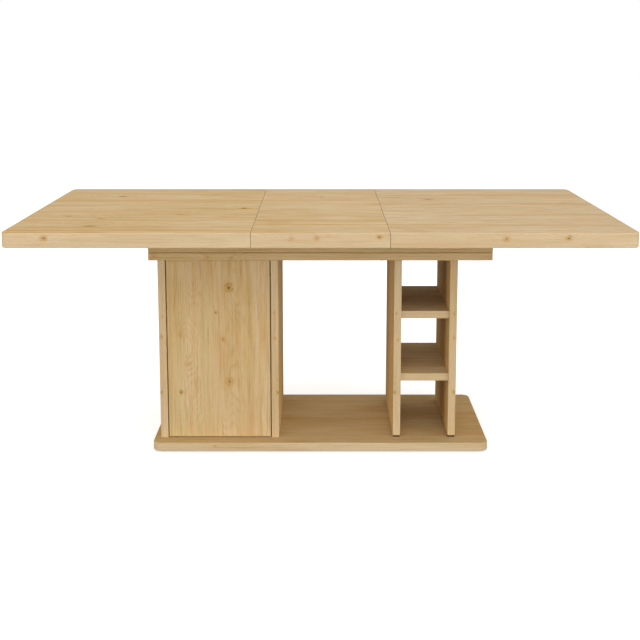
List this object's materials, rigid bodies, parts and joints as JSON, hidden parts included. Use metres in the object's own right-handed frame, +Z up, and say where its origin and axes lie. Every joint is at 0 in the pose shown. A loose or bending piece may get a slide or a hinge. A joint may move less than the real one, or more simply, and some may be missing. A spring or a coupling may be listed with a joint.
{
  "type": "extending kitchen table with storage cabinet",
  "caption": "Extending dining table: sliding top halves and a lift-out leaf on an apron box, carried by a closed cabinet and an open shelf tower on one base plate.",
  "frame": {"origin": "on the floor under the middle of the table top", "axes": "+Z up, +X to the right along the table's length, -Y towards the front, where the door is"},
  "size_m": [1.838, 0.9, 0.75],
  "materials": {
    "oak_decor": "satin melamine decor of knotty light oak",
    "beech": "planed, unfinished",
    "black_plastic": "moulded, matt",
    "brown_plastic": "extruded, matt",
    "white_nylon": "moulded, satin",
    "zinc_steel": "bright zinc plate",
    "mill_aluminium": "extruded, mill finish"
  },
  "bodies": {
    "pedestal": {"base_plate": "oak_decor", "cabinet_side_left": "oak_decor", "cabinet_side_right": "oak_decor", "cabinet_back_panel": "oak_decor", "cabinet_shelf": "oak_decor", "tower_upright_left": "oak_decor", "tower_upright_right": "oak_decor", "tower_shelf_lower": "oak_decor", "tower_shelf_upper": "oak_decor", "top_plate": "oak_decor", "rail_front": "oak_decor", "rail_rear": "oak_decor", "end_rail_left": "oak_decor", "end_rail_right": "oak_decor", "back_panel_dowels": "beech", "tower_shelf_dowels": "beech", "floor_glides": "black_plastic", "latch_housing": "black_plastic", "pivot_bush_lower": "black_plastic", "pivot_bush_upper": "black_plastic", "upright_spacers": "brown_plastic", "glide_tape_front": "white_nylon", "glide_tape_rear": "white_nylon", "base_screws": "zinc_steel", "top_plate_screws": "zinc_steel", "rail_screws": "zinc_steel", "latch_screw": "zinc_steel", "guide_channel_front": "zinc_steel", "guide_channel_rear": "zinc_steel", "guide_channel_screws": "zinc_steel", "slide_stop_pins": "zinc_steel", "shelf_supports": "zinc_steel"},
    "left_top": {"top_half_left": "oak_decor", "runner_left_front": "mill_aluminium", "runner_left_rear": "mill_aluminium", "runner_stop_plugs_left": "black_plastic", "runner_screws_left": "zinc_steel"},
    "right_top": {"top_half_right": "oak_decor", "runner_right_front": "mill_aluminium", "runner_right_rear": "mill_aluminium", "runner_stop_plugs_right": "black_plastic", "runner_screws_right": "zinc_steel"},
    "leaf_body": {"leaf": "oak_decor", "leaf_cleat_front": "beech", "leaf_cleat_rear": "beech", "leaf_cleat_screws": "zinc_steel"},
    "door": {"door_panel": "oak_decor", "door_pivot_pin_lower": "zinc_steel", "door_pivot_pin_upper": "zinc_steel", "strike_plate": "zinc_steel"},
    "plunger": {"latch_plunger": "white_nylon"}
  },
  "joints": [
    {"name": "left_half_slide", "type": "slide", "parent": "pedestal", "child": "left_top", "axis": [-1, 0, 0], "range_m": [0, 0.04]},
    {"name": "right_half_slide", "type": "slide", "parent": "pedestal", "child": "right_top", "axis": [1, 0, 0], "range_m": [0, 0.04]},
    {"name": "leaf_lift", "type": "slide", "parent": "pedestal", "child": "leaf_body", "axis": [0, 0, 1], "range_m": [0, 0.3]},
    {"name": "door_hinge", "type": "hinge", "parent": "pedestal", "child": "door", "pos_m": [-0.4655, -0.17, 0.327], "axis": [0, 0, -1], "range_deg": [0, 110]},
    {"name": "latch_press", "type": "slide", "parent": "pedestal", "child": "plunger", "axis": [0, 1, 0], "range_m": [0, 0.003], "stiffness_N_per_m": 600}
  ]
}
